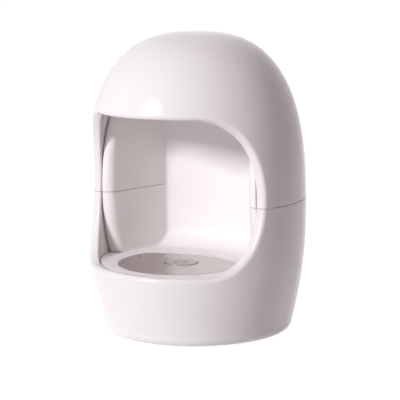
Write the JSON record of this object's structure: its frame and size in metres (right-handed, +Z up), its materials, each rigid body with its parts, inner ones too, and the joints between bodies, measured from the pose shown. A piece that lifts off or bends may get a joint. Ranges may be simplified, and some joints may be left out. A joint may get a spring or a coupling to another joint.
{
  "type": "mini uv nail lamp",
  "caption": "Egg-shaped glossy white table lamp with a C-shaped finger opening, a white reflector, a metal base plate with a round push button, and lamp diodes in the hood.",
  "frame": {"origin": "middle of the foot, on the surface that the lamp stands on", "axes": "+Z up through the crown, the finger opening faces -Y, the power inlet faces +Y, +X to the right seen from the front"},
  "size_m": [0.068, 0.067, 0.092],
  "materials": {
    "shell_white": "glossy moulded plastic, warm white",
    "reflector_white": "smooth white moulded plastic, half gloss",
    "liner_white": "smooth white moulded plastic, half gloss",
    "plate_metal": "polished grey metal sheet",
    "tape": "double-sided adhesive sheet",
    "button_grey": "metal-coloured coated plastic with a sunk power mark",
    "black_plastic": "matt black moulding",
    "board_green": "solder mask on glass laminate",
    "board_white": "white mask on an aluminium core",
    "can_metal": "bright drawn metal",
    "inlet_metal": "plated folded steel",
    "screw_steel": "plated steel",
    "socket_white": "off-white nylon",
    "wire_insulation": "soft coloured insulation",
    "diode_yellow": "phosphor-coloured diode package",
    "lens_clear": "clear moulded lens",
    "foot_rubber": "soft grey rubber"
  },
  "bodies": {
    "housing": {"upper_shell": "shell_white", "lower_shell": "shell_white", "reflector": "reflector_white", "upper_liner": "liner_white", "lower_liner": "liner_white", "base_plate": "plate_metal", "plate_tape": "tape", "switch_body": "black_plastic", "control_board": "board_green", "controller_chip": "black_plastic", "power_coil": "black_plastic", "capacitors": "can_metal", "chip_resistors": "black_plastic", "usb_shell": "inlet_metal", "usb_tongue": "black_plastic", "wire_sockets": "socket_white", "lamp_wires": "wire_insulation", "lamp_board": "board_white", "uv_diodes": "diode_yellow", "diode_lenses": "lens_clear", "lamp_board_screws": "screw_steel", "liner_screws": "screw_steel", "sill_screws": "screw_steel", "shell_screws": "screw_steel", "board_screws": "screw_steel", "bottom_cover": "shell_white", "cover_screws": "screw_steel", "rubber_feet": "foot_rubber"},
    "button": {"power_button": "button_grey"},
    "plunger": {"switch_plunger": "black_plastic"}
  },
  "joints": [
    {"name": "button_press", "type": "slide", "parent": "housing", "child": "button", "axis": [0, 0, -1], "range_m": [0, 0.0005], "stiffness_N_per_m": 1200, "springref_m": -0.0003},
    {"name": "plunger_press", "type": "slide", "parent": "housing", "child": "plunger", "axis": [0, 0, -1], "range_m": [0, 0.0005], "stiffness_N_per_m": 100, "springref_m": -0.0002}
  ],
  "couplings": [
    {"joint": "plunger_press", "follows": "button_press", "ratio": 1}
  ]
}
